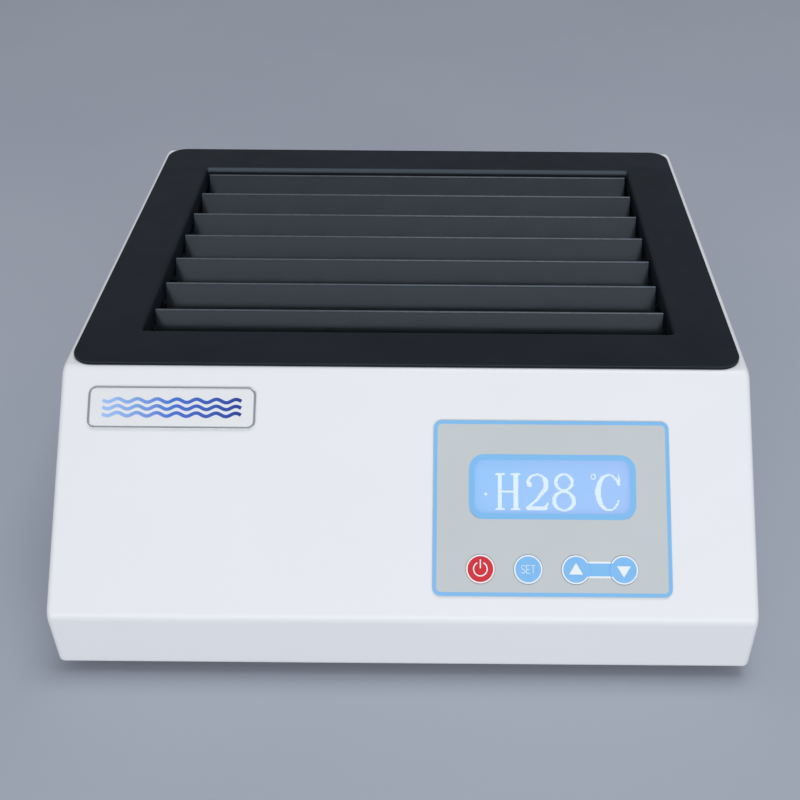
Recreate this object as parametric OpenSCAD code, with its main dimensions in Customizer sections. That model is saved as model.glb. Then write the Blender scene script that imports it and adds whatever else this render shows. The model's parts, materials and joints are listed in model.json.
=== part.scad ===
// Slide-drying dry block heater: a sheet-metal bench housing with a sloping control face and a
// black heated well on top, crossed by seven leaning aluminium fins.
// X runs to the right, Y to the back and Z up. The origin is the middle of the footprint, on the
// surface that the feet stand on.

/* [Housing] */
// Width of the housing
body_w = 302.5; // [298:0.5:330]
// Depth of the housing, front to back
body_d = 306; // [304:1:320]
// Height of the housing without its feet
body_h = 104; // [100:1:110]
// Height of the upright band below the slope
band_h = 30; // [26:1:31]
// Horizontal run of the sloping face
slope_run = 79; // [77:1:82]
// Thickness of the sheet steel
sheet = 1.5; // [1.2:0.1:1.6]
// Outside radius of the bends above and below the slope
bend_r = 5.5; // [3:0.5:6]
// Height of the rubber feet
foot_h = 6; // [5:1:12]

/* [Top plate and well] */
// Width of the black top plate
panel_w = 296; // [290:1:298]
// Depth of the black top plate
panel_d = 221; // [219:1:222]
// Thickness of the top plate
panel_t = 1.5; // [1:0.1:2]
// Corner radius of the top plate
panel_r = 10; // [4:1:12]
// Width of the opening over the well
open_w = 243.5; // [236:0.5:246]
// Distance from one fin to the next
fin_pitch = 24.1; // [23.6:0.1:24.2]
// Lean of the fins from upright, in degrees
fin_lean = 30; // [20:1:33]
// Height of the fins above the well's floor
fin_h = 31; // [28:1:34]
// Thickness of a fin
fin_t = 2; // [1.5:0.1:2.4]
// Depth of the fins' tops below the top plate's face
fin_recess = 3; // [2:0.5:5]

/* [Control face] */
// Width of the membrane panel
membrane_w = 102; // [100:0.2:104]
// Height of the membrane panel, along the slope
membrane_h = 75.4; // [74:0.2:76]
// Thickness of the membrane panel
membrane_t = 0.8; // [0.6:0.1:1]
// Diameter of a key's pad
key_d = 12.2; // [11.5:0.1:12.4]
// Distance from one key to the next
key_pitch = 20.3; // [19:0.1:21]
// Travel of a key
key_travel = 0.4; // [0.2:0.05:0.45]
// Width of the nameplate
plate_w = 73.1; // [60:0.1:80]
// Height of the nameplate
plate_h = 18.5; // [12:0.1:20]

/* [Hidden] */
$fn = 48;

// Clearances
slip = 0.1;          // between a sliding piece and its guide
thread_gap = 0.05;   // between a screw and the hole that it sits in
hole_gap = 0.2;      // around a screw that passes through a sheet
glue_t = 0.01;       // film of glue under the membrane, the window and the nameplate
cut = 1;             // how far a cutting solid runs past the surface it cuts

// Main planes. Rear fittings stand proud of the housing, and the footprint takes them in.
rear_proud = 4;
front_y = -(body_d + rear_proud) / 2;
rear_y = front_y + body_d;
bottom_z = foot_h;
top_z = foot_h + body_h;
base_top = bottom_z + sheet;
slope_deg = atan((body_h - band_h) / slope_run);

// Well and top plate
fin_count = 7;
open_d = fin_count * fin_pitch;
open_r = 1.5;
panel_front = front_y + slope_run + 0.8;
panel_cy = panel_front + panel_d / 2;
open_front = panel_cy - open_d / 2;
lip_r = 2;
lip_depth = 9;
well_gap = 1;
well_w = open_w + 2 * (panel_t + well_gap);
well_d = open_d + 2 * (panel_t + well_gap);
wall_t = 2;
flange_w = 16;
rim_out_w = well_w + 2 * (flange_w + wall_t);
rim_out_d = well_d + 2 * flange_w;
gasket_t = 1;
tray_top = top_z - sheet - gasket_t;
fin_top_z = top_z + panel_t - fin_recess;
floor_z = fin_top_z - fin_h;
floor_t = 3;
floor_under = floor_z - floor_t;

// Studs under the top plate
stud_d = 4;
stud_len = 9;
stud_x = open_w / 2 + 11.5;
stud_dy = open_d / 2 + 11.5;
STUDS = [
    [-stud_x, -stud_dy], [0, -stud_dy], [stud_x, -stud_dy], [-stud_x, 0], [stud_x, 0],
    [-stud_x, stud_dy], [0, stud_dy], [stud_x, stud_dy]
];
nut_h = 3.2;
nut_across = 7;

// Fins
fin_end_gap = 1.25;  // between a fin's end and the edge of the opening
fin_w = open_w - 2 * fin_end_gap;
fin_foot = 6;
fin_back_gap = 1.3;
fin_len = (fin_h - fin_t / 2 - fin_t / 2 * sin(fin_lean)) / cos(fin_lean) + fin_t / 2;
fin_reach = (fin_len - fin_t / 2) * sin(fin_lean) - fin_t / 2 * cos(fin_lean) + fin_t / 2;
rivet_d = 3.2;
rivet_xs = [-95, 0, 95];
rivet_back = 3.6;

// Heater stack below the well's floor
heater_w = 224;
heater_d = 132;
mat_t = 1.5;
clamp_t = 1.5;
insulation_t = 12;
shield_t = 1.2;
shield_w = 246;
pillar_d = 8;
shield_x = 118;
shield_dy = 50;
insulation_bottom = floor_under - mat_t - clamp_t - insulation_t;
pillar_h = floor_under - insulation_bottom;

// Control face, measured along the slope from its top edge
membrane_x = 63.4;
membrane_s = 60.4;
membrane_r = 3.6;
window_w = 71.3;
window_h = 27.2;
window_r = 5.6;
window_x = 63.6;
window_s = 51.7;
window_gap = 0.1;
aperture_rim = 1.2;
key_s = 86.6;
key_x0 = 32.8;
key_gap = 0.15;
key_pad_t = 0.7;
key_pad_up = 0.45;
key_stem_d = 5;
key_tip_d = 3.4;
switch_size = 6;
switch_h = 4;
board_n = -12;
board_t = 1.6;
board_w = 98;
board_h = 64;
board_x = 63.5;
board_s = 64;
lcd_w = 78;
lcd_h = 34;
lcd_top_n = -2.2;
corner_inset = 4;
nameplate_x = -101.6;
nameplate_s = 18.3;
nameplate_t = 1;
nameplate_r = 3.6;
rim_w = 1;
rim_h = 0.35;

// Control board
control_w = 110;
control_d = 70;
control_x = -62;
control_y = front_y + 64;
control_z = base_top + 6;
block_w = 44;
block_d = 10;
block_h = 12;
block_at = [10, 27];

// Rear fittings
inlet_x = 95;
inlet_z = 41;
inlet_w = 28;
inlet_h = 35;
inlet_deep = 30;
inlet_flange_t = 2.5;
inlet_ear_x = 20;
socket_w = 24.4;
socket_h = 16.6;
socket_y = -6;
socket_corner = 4.5;
socket_floor = -14.5;
pin_w = 2;
pin_h = 4;
pin_len = 12;
pin_tail = 38;
PINS = [[-7, -8], [7, -8], [0, -4]];
drawer_w = 20.8;
drawer_h = 9.2;
drawer_y = 10;
drawer_back = -24;
fuse_d = 5.2;
fuse_len = 20;
switch_x = 40;
switch_z = 41;
bezel_w = 15;
bezel_h = 21;
bezel_t = 2;
rocker_w = 10;
rocker_deg = 11;
switch_deep = 20;
switch_tab_end = 28;
pivot_out = -3;
pivot_d = 2;

// Fasteners and feet
foot_d = 20;
foot_x = 124;
foot_depths = [26, 280];
FEET = [for (x = [-foot_x, foot_x], y = foot_depths) [x, front_y + y]];
side_screw_z = base_top + 6;
SIDE_SCREWS = [[60, side_screw_z], [150, side_screw_z], [240, side_screw_z], [298.5, 40], [298.5, 88]];
rear_screw_xs = [-130, 0, 130];
flange_h = 12;
rear_flange_z = 28;
rear_flange_h = 70;
fit = 0.2;
earth_at = [70, front_y + 236];

// Cooling slots, under the electronics and low and high in the back
vent_xs = [-112 : 8 : -16];
vent_w = 3;
base_vent_len = 36;
base_vent_depths = [116, 190];
rear_vent_len = 26;
rear_vent_zs = [42, 78];

// ---------------------------------------------------------------- shared shapes

module rounded_rect(w, h, r) {
    square([w - 2 * r, h], center = true);
    square([w, h - 2 * r], center = true);
    for (x = [-1, 1], y = [-1, 1])
        translate([x * (w / 2 - r), y * (h / 2 - r)]) circle(r);
}

module slot_2d(w, len) {
    square([w, len - w], center = true);
    for (y = [-1, 1]) translate([0, y * (len - w) / 2]) circle(d = w);
}

// Local Z points out of the sloping face and local Y up along it.
module on_slope(x, s, n = 0) {
    translate([0, front_y + slope_run, top_z])
        rotate([slope_deg, 0, 0])
            translate([x, -s, n]) children();
}

// Local Z points out of the back and local X to the right as seen from behind.
module on_rear(x, z, out = 0) {
    translate([x, rear_y + out, z]) rotate([90, 0, 180]) children();
}

// Local Z points out of one side wall.
module on_side(side, y, z) {
    translate([side * body_w / 2, front_y + y, z]) rotate([0, 90 * side, 0]) children();
}

// A screw whose head rests on z = 0 and whose shank runs down.
module pan_screw(d, len, head_d, head_h) {
    recess = 0.3 * head_d;
    difference() {
        union() {
            cylinder(d = head_d, h = head_h * 0.65);
            cylinder(d = head_d * 0.86, h = head_h);
        }
        for (a = [0, 90])
            rotate(a) translate([-recess, -0.35, head_h * 0.5]) cube([2 * recess, 0.7, head_h]);
    }
    translate([0, 0, -len]) cylinder(d = d, h = len);
}

module hex_nut(across, h, bore) {
    difference() {
        cylinder(d = across / cos(30), h = h, $fn = 6);
        translate([0, 0, -cut]) cylinder(d = bore, h = h + 2 * cut);
    }
}

// A round wire along a list of points whose corners are cut once, with an eight-sided ring at
// each point.
wire_sides = 8;
ring_up = [0.2, -0.5, 1];

function unit(v) = v / norm(v);
function cut_corners(p) = concat(
    [p[0]],
    [for (i = [1 : len(p) - 2]) each [(p[i - 1] + 3 * p[i]) / 4, (3 * p[i] + p[i + 1]) / 4]],
    [p[len(p) - 1]]
);
function heading(p, i) =
    let (last = len(p) - 1)
        i == 0 ? unit(p[1] - p[0])
        : i == last ? unit(p[last] - p[last - 1])
        : unit(unit(p[i + 1] - p[i]) + unit(p[i] - p[i - 1]));
function ring(centre, along, r) =
    let (across = unit(cross(along, ring_up)), over = cross(across, along))
        [for (k = [0 : wire_sides - 1]) centre
            + r * (cos(k * 360 / wire_sides) * across + sin(k * 360 / wire_sides) * over)];

module wire(points, d) {
    path = cut_corners(points);
    n = len(path);
    polyhedron(
        points = [for (i = [0 : n - 1]) each ring(path[i], heading(path, i), d / 2)],
        faces = concat(
            [[for (k = [wire_sides - 1 : -1 : 0]) k]],
            [for (i = [0 : n - 2], k = [0 : wire_sides - 1])
                let (a = i * wire_sides + k, b = i * wire_sides + (k + 1) % wire_sides)
                    each [[a, b, b + wire_sides], [a, b + wire_sides, a + wire_sides]]],
            [[for (k = [0 : wire_sides - 1]) (n - 1) * wire_sides + k]]
        )
    );
}

// The hole behind a housing screw, in the sheet that lies inside the housing's own.
module tapped_hole() {
    translate([0, 0, -2 * sheet - fit - cut]) cylinder(r = 1.5 + thread_gap, h = sheet + 2 * cut);
}

module at_studs() {
    for (p = STUDS) translate([p[0], panel_cy + p[1], 0]) children();
}

// ---------------------------------------------------------------- housing

bend_steps = 12;     // flats round a bend
rear_lip = 10;       // height left standing above the rear opening

// Points round a bend, from one angle to another.
function bend_arc(centre, r, from, to) =
    [for (k = [0 : bend_steps])
        let (angle = from + (to - from) * k / bend_steps)
            centre + r * [cos(angle), sin(angle)]];

// Side view of the housing, drawn in depth and height, moved in by d all round.
module side_profile(d, bottom) {
    r = bend_r - d;
    band_centre = [bend_r, bottom_z + band_h - bend_r * tan((90 - slope_deg) / 2)];
    top_centre = [slope_run + bend_r * tan(slope_deg / 2), top_z - bend_r];
    polygon(concat(
        [[d, bottom]],
        bend_arc(band_centre, r, 180, 90 + slope_deg),
        bend_arc(top_centre, r, 90 + slope_deg, 90),
        bend_arc([body_d - bend_r, top_z - bend_r], r, 90, 0),
        [[body_d - d, bottom]]
    ));
}

module side_extrude(w) {
    translate([0, front_y, 0])
        rotate([90, 0, 90])
            linear_extrude(w, center = true) children();
}

module housing_cover() color("#E6E9ED") difference() {
    side_extrude(body_w) side_profile(0, bottom_z);
    side_extrude(body_w - 2 * sheet) side_profile(sheet, bottom_z - cut);
    // the back is open below a lip
    translate([sheet - body_w / 2, rear_y - sheet - cut, bottom_z - cut])
        cube([body_w - 2 * sheet, sheet + 2 * cut, body_h - rear_lip + cut]);
    // well opening and the holes for the top plate's studs
    translate([-well_w / 2, panel_cy - well_d / 2, top_z - sheet - cut])
        cube([well_w, well_d, sheet + 2 * cut]);
    at_studs() translate([0, 0, top_z - sheet - cut])
        cylinder(d = stud_d + 2 * hole_gap, h = sheet + 2 * cut);
    // display aperture and the four key holes
    on_slope(window_x, window_s, -sheet - cut)
        linear_extrude(sheet + 2 * cut)
            rounded_rect(window_w - 2 * aperture_rim, window_h - 2 * aperture_rim,
                         window_r - aperture_rim);
    for (i = [0 : 3])
        on_slope(key_x0 + i * key_pitch, key_s, -sheet - cut)
            cylinder(d = key_stem_d + 4 * hole_gap, h = sheet + 2 * cut);
    for (side = [-1, 1], p = SIDE_SCREWS)
        on_side(side, p[0], p[1]) translate([0, 0, -sheet - cut])
            cylinder(d = 3 + 2 * hole_gap, h = sheet + 2 * cut);
}

// Floor plate with an upturned flange along each edge.
module base_tray() color("#C9CDD3") {
    in_w = body_w - 2 * sheet - 2 * fit;
    y0 = front_y + sheet + fit;
    y1 = rear_y - sheet - fit;
    difference() {
        union() {
            translate([-in_w / 2, y0, bottom_z]) cube([in_w, y1 - y0, sheet]);
            for (side = [-1, 1])
                translate([side * (in_w - sheet) / 2 - sheet / 2, y0, bottom_z])
                    cube([sheet, y1 - y0 - flange_h - 4, sheet + flange_h]);
            for (y = [y0, y1 - sheet])
                translate([-in_w / 2, y, bottom_z]) cube([in_w, sheet, sheet + flange_h]);
        }
        for (p = FEET) translate([p[0], p[1], bottom_z - cut])
            cylinder(d = 4 + 2 * hole_gap, h = sheet + 2 * cut);
        for (side = [-1, 1], i = [0 : 2])
            on_side(side, SIDE_SCREWS[i][0], SIDE_SCREWS[i][1])
                tapped_hole();
        for (x = rear_screw_xs) on_rear(x, side_screw_z) tapped_hole();
        for (x = vent_xs, y = base_vent_depths)
            translate([x, front_y + y, bottom_z - cut])
                linear_extrude(sheet + 2 * cut) slot_2d(vent_w, base_vent_len);
    }
}

module rear_panel() color("#E6E9ED") {
    w = body_w - 2 * sheet - 2 * fit;
    h = body_h - rear_lip - fit;
    difference() {
        union() {
            translate([-w / 2, rear_y - sheet, bottom_z]) cube([w, sheet, h]);
            for (side = [-1, 1])
                translate([side * (w - sheet) / 2 - sheet / 2, rear_y - sheet - flange_h, rear_flange_z])
                    cube([sheet, flange_h + sheet, rear_flange_h]);
        }
        on_rear(inlet_x, inlet_z, -sheet - cut)
            linear_extrude(sheet + 2 * cut) square([inlet_w + 2 * fit, inlet_h + 2 * fit], center = true);
        for (x = [-1, 1]) on_rear(inlet_x + x * inlet_ear_x, inlet_z, -sheet - cut)
            cylinder(r = 1.5 + thread_gap, h = sheet + 2 * cut);
        on_rear(switch_x, switch_z, -sheet - cut)
            linear_extrude(sheet + 2 * cut)
                square([bezel_w - 2 + 2 * fit, bezel_h - 2 + 2 * fit], center = true);
        for (x = rear_screw_xs) on_rear(x, side_screw_z, -sheet - cut)
            cylinder(d = 3 + 2 * hole_gap, h = sheet + 2 * cut);
        for (side = [-1, 1], i = [3, 4])
            on_side(side, SIDE_SCREWS[i][0], SIDE_SCREWS[i][1]) tapped_hole();
        for (x = vent_xs, z = rear_vent_zs) on_rear(x, z, -sheet - cut)
            linear_extrude(sheet + 2 * cut) slot_2d(vent_w, rear_vent_len);
    }
}

// ---------------------------------------------------------------- top plate and well

// Section of the lip that turns down into the well: x runs out from the opening's edge.
module lip_profile() {
    intersection() {
        translate([lip_r, -lip_r]) difference() {
            circle(lip_r);
            circle(lip_r - panel_t);
        }
        translate([0, -lip_r]) square(lip_r);
    }
    translate([0, -lip_depth]) square([panel_t, lip_depth - lip_r]);
}

module lip_run(len) {
    rotate([90, 0, 90]) linear_extrude(len, center = true) lip_profile();
}

module top_panel() color("#24272C") translate([0, panel_cy, top_z + panel_t]) {
    difference() {
        translate([0, 0, -panel_t]) linear_extrude(panel_t) rounded_rect(panel_w, panel_d, panel_r);
        translate([0, 0, -panel_t - cut]) linear_extrude(panel_t + 2 * cut)
            rounded_rect(open_w + 2 * lip_r, open_d + 2 * lip_r, open_r + lip_r);
    }
    translate([0, open_d / 2, 0]) lip_run(open_w - 2 * open_r);
    rotate(180) translate([0, open_d / 2, 0]) lip_run(open_w - 2 * open_r);
    rotate(-90) translate([0, open_w / 2, 0]) lip_run(open_d - 2 * open_r);
    rotate(90) translate([0, open_w / 2, 0]) lip_run(open_d - 2 * open_r);
    for (a = [0 : 90 : 270])
        translate([(a == 0 || a == 270 ? 1 : -1) * (open_w / 2 - open_r),
                   (a < 180 ? 1 : -1) * (open_d / 2 - open_r), 0])
            rotate(a) rotate_extrude(angle = 90) translate([open_r, 0]) lip_profile();
    for (p = STUDS) translate([p[0], p[1], -panel_t - stud_len])
        cylinder(d = stud_d, h = stud_len + panel_t / 2);
}

module panel_nuts() color("#B8BCC2")
    at_studs() translate([0, 0, tray_top - wall_t - nut_h])
        hex_nut(nut_across, nut_h, stud_d + 2 * thread_gap);

module tray_gasket() color("#B6534A") difference() {
    translate([0, panel_cy, tray_top]) linear_extrude(gasket_t)
        rounded_rect(rim_out_w, rim_out_d, 3);
    translate([-well_w / 2, panel_cy - well_d / 2, tray_top - cut])
        cube([well_w, well_d, gasket_t + 2 * cut]);
    at_studs() translate([0, 0, tray_top - cut])
        cylinder(d = stud_d + 2 * hole_gap, h = gasket_t + 2 * cut);
}

module heating_tray() color("#2B2E33") difference() {
    union() {
        translate([0, panel_cy, tray_top - wall_t]) linear_extrude(wall_t)
            rounded_rect(rim_out_w, rim_out_d, 3);
        translate([0, panel_cy, floor_under]) linear_extrude(tray_top - floor_under)
            rounded_rect(well_w + 2 * wall_t, well_d + 2 * wall_t, 3);
    }
    translate([-well_w / 2, panel_cy - well_d / 2, floor_z])
        cube([well_w, well_d, tray_top - floor_z + cut]);
    at_studs() translate([0, 0, tray_top - wall_t - cut])
        cylinder(d = stud_d + 2 * hole_gap, h = wall_t + 2 * cut);
    at_rivets() translate([0, 0, floor_under - cut])
        cylinder(d = rivet_d + 2 * thread_gap, h = floor_t + 2 * cut);
    at_shield_pillars() translate([0, 0, floor_under - cut])
        cylinder(r = 1.5 + thread_gap, h = 2 + cut);
}

// Side view of a fin: a leaning leaf with a rounded top and a short foot towards the front.
module fin_profile() {
    rotate(-fin_lean) {
        translate([-fin_t, 0]) square([fin_t, fin_len - fin_t / 2]);
        translate([-fin_t / 2, fin_len - fin_t / 2]) circle(fin_t / 2);
    }
    translate([-fin_foot, 0]) square([fin_foot, fin_t]);
}

function fin_y(i) = open_front + i * fin_pitch - fin_back_gap - fin_reach;

module fin(i) color("#3E434A") difference() {
    translate([0, fin_y(i), floor_z]) rotate([90, 0, 90])
        linear_extrude(fin_w, center = true) fin_profile();
    for (x = rivet_xs) translate([x, fin_y(i) - rivet_back, floor_z - cut])
        cylinder(d = rivet_d + 2 * thread_gap, h = fin_t + 2 * cut);
}

module fin_1() fin(1);
module fin_2() fin(2);
module fin_3() fin(3);
module fin_4() fin(4);
module fin_5() fin(5);
module fin_6() fin(6);
module fin_7() fin(7);

module at_rivets() {
    for (i = [1 : fin_count], x = rivet_xs) translate([x, fin_y(i) - rivet_back, 0]) children();
}

module fin_rivets() color("#555A61") at_rivets() {
    translate([0, 0, floor_under]) cylinder(d = rivet_d, h = floor_t + fin_t + 0.2);
    translate([0, 0, floor_z + fin_t]) cylinder(d = 4.4, h = 0.8);
}

// ---------------------------------------------------------------- heater stack

module at_shield_pillars() {
    for (x = [-shield_x, shield_x], y = [-shield_dy, shield_dy]) translate([x, panel_cy + y, 0]) children();
}

module heater_mat() color("#B5452F")
    translate([-heater_w / 2, panel_cy - heater_d / 2, floor_under - mat_t])
        cube([heater_w, heater_d, mat_t]);

module clamp_plate() color("#A9ADB2")
    translate([-heater_w / 2, panel_cy - heater_d / 2 + 3, floor_under - mat_t - clamp_t])
        cube([heater_w, heater_d - 6, clamp_t]);

module insulation_pad() color("#E9E4D4")
    translate([-heater_w / 2, panel_cy - heater_d / 2 + 3, insulation_bottom])
        cube([heater_w, heater_d - 6, insulation_t]);

module heat_shield() color("#B8BCC2") difference() {
    translate([-shield_w / 2, panel_cy - heater_d / 2, insulation_bottom - shield_t])
        cube([shield_w, heater_d, shield_t]);
    at_shield_pillars() translate([0, 0, insulation_bottom - shield_t - cut])
        cylinder(d = 3 + 2 * hole_gap, h = shield_t + 2 * cut);
}

module shield_pillars() color("#C8CBD0") at_shield_pillars() {
    difference() {
        translate([0, 0, insulation_bottom]) cylinder(d = pillar_d, h = pillar_h);
        translate([0, 0, insulation_bottom - cut]) cylinder(r = 1.5 + thread_gap, h = 8 + cut);
    }
    translate([0, 0, floor_under - 1]) cylinder(d = 3, h = 2.5);
}

module shield_screws() color("#9DA1A7") at_shield_pillars()
    translate([0, 0, insulation_bottom - shield_t]) rotate([180, 0, 0]) pan_screw(3, 7, 5.6, 2);

// The probe lies in its clip against the front wall of the well.
probe_y = panel_cy - well_d / 2 - wall_t - 2.6;
probe_z = floor_z + 8;

module temperature_sensor() color("#C8CBD0")
    translate([-44, probe_y, probe_z]) rotate([0, 90, 0]) cylinder(d = 4, h = 30);

module sensor_clip() color("#A9ADB2") difference() {
    translate([-34, probe_y - 3.4, probe_z - 4]) cube([10, 6, 8]);
    translate([-44, probe_y, probe_z]) rotate([0, 90, 0]) cylinder(r = 2 + thread_gap, h = 30);
}

// Snap-action disc thermostat with two tabs, against the front wall of the well.
module thermal_cutout() color("#3A3A3C") translate([20, probe_y + 2.6, probe_z + 6]) rotate([90, 0, 0]) {
    cylinder(d = 16, h = 3);
    cylinder(d = 13, h = 9);
    for (x = [-3, 3]) translate([x - 0.4, -3, 8]) cube([0.8, 6, 8]);
}

// ---------------------------------------------------------------- control face

module at_keys() {
    for (i = [0 : 3]) on_slope(key_x0 + i * key_pitch, key_s) children();
}

module membrane_panel() color("#C3CACD") difference() {
    on_slope(membrane_x, membrane_s, glue_t) linear_extrude(membrane_t - glue_t)
        rounded_rect(membrane_w, membrane_h, membrane_r);
    on_slope(window_x, window_s, -cut) linear_extrude(membrane_t + 2 * cut)
        rounded_rect(window_w, window_h, window_r);
    at_keys() translate([0, 0, -cut]) cylinder(d = key_d + 2 * key_gap, h = membrane_t + 2 * cut);
}

module lcd_window() color("#84C2F6") on_slope(window_x, window_s, glue_t)
    linear_extrude(membrane_t - glue_t)
        rounded_rect(window_w - 2 * window_gap, window_h - 2 * window_gap, window_r - window_gap);

module lcd_module() color("#98C0FF") on_slope(window_x, window_s) {
    body_n = lcd_top_n - 1;
    translate([-lcd_w / 2, -lcd_h / 2, board_n]) cube([lcd_w, lcd_h, body_n - board_n]);
    translate([0, 0, body_n]) linear_extrude(1) rounded_rect(lcd_w - 6, lcd_h - 6, 2);
}

module at_board_corners() {
    for (x = [-1, 1], y = [-1, 1])
        on_slope(board_x + x * (board_w / 2 - corner_inset), board_s + y * (board_h / 2 - corner_inset))
            children();
}

module display_board() color("#1F6B45") difference() {
    on_slope(board_x, board_s, board_n - board_t)
        translate([-board_w / 2, -board_h / 2, 0]) cube([board_w, board_h, board_t]);
    at_board_corners() translate([0, 0, board_n - board_t - cut])
        cylinder(d = 3 + 2 * hole_gap, h = board_t + 2 * cut);
}

module tact_switches() color("#2A2A2C") at_keys() difference() {
    translate([-switch_size / 2, -switch_size / 2, board_n]) cube([switch_size, switch_size, switch_h]);
    translate([0, 0, board_n + switch_h - 1.4]) cylinder(d = key_tip_d + 2 * slip, h = 1.4 + cut);
}

// A pad in the membrane with the plunger of its switch behind it.
module key(i) on_slope(key_x0 + i * key_pitch, key_s) {
    translate([0, 0, key_pad_up]) cylinder(d = key_d, h = key_pad_t);
    translate([0, 0, -sheet - 2]) cylinder(d = key_stem_d, h = key_pad_up + sheet + 2 + key_pad_t / 2);
    tip_n = board_n + switch_h - 0.7;
    translate([0, 0, tip_n]) cylinder(d = key_tip_d, h = -sheet - 1.5 - tip_n);
}

module key_power() color("#D9202F") key(0);
module key_set() color("#86C3F5") key(1);
module key_up() color("#86C3F5") key(2);
module key_down() color("#86C3F5") key(3);

module display_pillars() color("#C8CBD0") at_board_corners() difference() {
    translate([0, 0, board_n]) cylinder(d = 6, h = -sheet - board_n);
    translate([0, 0, board_n - cut]) cylinder(r = 1.5 + thread_gap, h = 8 + cut);
}

module display_screws() color("#9DA1A7") at_board_corners()
    translate([0, 0, board_n - board_t]) rotate([180, 0, 0]) pan_screw(3, 7, 5.6, 2);

// Polished plate with a raised rim.
module nameplate() color("#D5D8DC") on_slope(nameplate_x, nameplate_s, glue_t) difference() {
    linear_extrude(nameplate_t - glue_t) rounded_rect(plate_w, plate_h, nameplate_r);
    translate([0, 0, nameplate_t - glue_t - rim_h]) linear_extrude(rim_h + cut)
        rounded_rect(plate_w - 2 * rim_w, plate_h - 2 * rim_w, nameplate_r - rim_w);
}

// ---------------------------------------------------------------- electronics

module on_control(x, y, z = 0) {
    translate([control_x + x, control_y + y, control_z + board_t + z]) children();
}

module at_control_corners() {
    dx = control_w / 2 - corner_inset;
    dy = control_d / 2 - corner_inset;
    for (x = [-dx, dx], y = [-dy, dy]) translate([control_x + x, control_y + y, 0]) children();
}

module control_board() color("#1F6B45") difference() {
    translate([control_x - control_w / 2, control_y - control_d / 2, control_z])
        cube([control_w, control_d, board_t]);
    at_control_corners() translate([0, 0, control_z - cut])
        cylinder(d = 3 + 2 * hole_gap, h = board_t + 2 * cut);
}

module transformer() color("#30343A") on_control(-28, -6) {
    translate([-19, -16, 0]) cube([38, 32, 22]);
    translate([-16, -13, 22]) cube([32, 26, 2]);
}

module relay() color("#1B1C1F") on_control(18, -10) translate([-14, -6.5, 0]) cube([28, 13, 16]);

module terminal_block() color("#2F7D4F") on_control(block_at[0], block_at[1]) difference() {
    translate([-block_w / 2, -block_d / 2, 0]) cube([block_w, block_d, block_h]);
    for (i = [-2 : 2]) translate([i * block_w / 5, -1.5, block_h - 4]) cylinder(d = 4.5, h = 4 + cut);
}

module control_pillars() color("#C8CBD0") at_control_corners() difference() {
    translate([0, 0, base_top]) cylinder(d = 6, h = control_z - base_top);
    translate([0, 0, base_top + 1]) cylinder(r = 1.5 + thread_gap, h = control_z - base_top);
}

module control_screws() color("#9DA1A7") at_control_corners()
    translate([0, 0, control_z + board_t]) pan_screw(3, 6, 5.6, 2);

// Round cable with a plug on the back of the display board and one on the control board.
module display_cable() color("#8E949C") {
    on_slope(board_x - 26, board_s + 20, board_n - board_t - 6) translate([-9, -3, 0]) cube([18, 6, 6]);
    on_control(45, -12) translate([-4, -5, 0]) cube([8, 10, 6]);
    wire([[37.5, -123.8, 38.1], [37.5, -118, 32], [24, -110, 24], [8, -104, 20.1],
          [-4, -103, 20.1], [-12.9, -103, 20.1]], 3.6);
}

// Wires end a little short of what they join, so that no two pieces share space.
wire_end = 0.1;
block_x = control_x + block_at[0];
block_back = control_y + block_at[1] + block_d / 2 + wire_end;
block_top = control_z + board_t + block_h + wire_end;

module mains_wires() color("#7A4A2B") {
    tail_y = rear_y - pin_tail - wire_end;
    tab_y = rear_y - switch_tab_end - wire_end;
    // live, from the inlet to the switch
    wire([[102, tail_y, 33], [102, tail_y - 5, 33], [102, 105, 45], [70, 103, 47], [48, 106, 47],
          [40, 112, 46], [40, tab_y, 46]], 2.4);
    // switched live, on to the terminal block
    wire([[40, tab_y, 36], [40, 108, 36], [34, 92, 26], [-20, 40, 20], [-58, -34, 20],
          [block_x - 9, block_back + 8, 22], [block_x - 9, block_back, 22]], 2.4);
    // neutral
    wire([[88, tail_y, 33], [88, 104, 33], [60, 80, 20], [4, 10, 16], [-48, -38, 19],
          [block_x, block_back + 8, 22], [block_x, block_back, 22]], 2.4);
    // earth
    wire([[95, tail_y, 37], [95, 106, 37], [92, 94, 26], [82, 89, 18], [74, 84.5, 15.4]], 2.4);
}

// Two leads from the heater mat and two from the thermostat, down to the terminal block.
module heater_leads() color("#D8D3C4") {
    edge_y = panel_cy - heater_d / 2 - wire_end;
    mat_z = floor_under - mat_t / 2;
    drop_y = -65;
    for (x = [block_x - 17, block_x - 13])
        wire([[x, edge_y, mat_z], [x, edge_y - 8, mat_z], [x, -48, 52], [x, drop_y, 40],
              [x, drop_y, block_top]], 1.3);
    for (i = [0, 1]) {
        x = 17 + 6 * i;
        end_x = block_x + 11 + 5 * i;
        wire([[x, probe_y - 13.6, probe_z + 6], [x, probe_y - 17, probe_z + 6], [x - 4, -74, probe_z - 6],
              [x - 14, -70, 56], [end_x, drop_y, 42], [end_x, drop_y, block_top]], 1.3);
    }
}

module sensor_lead() color("#C8CBD0")
    wire([[-44.1, probe_y, probe_z], [-50, probe_y, probe_z], [-54, -57, 64], [block_x - 4, -65, 44],
          [block_x - 4, -65, block_top]], 1.6);

// ---------------------------------------------------------------- rear fittings

module on_inlet(x = 0, y = 0, out = 0) {
    on_rear(inlet_x, inlet_z) translate([x, y, out]) children();
}

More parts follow.
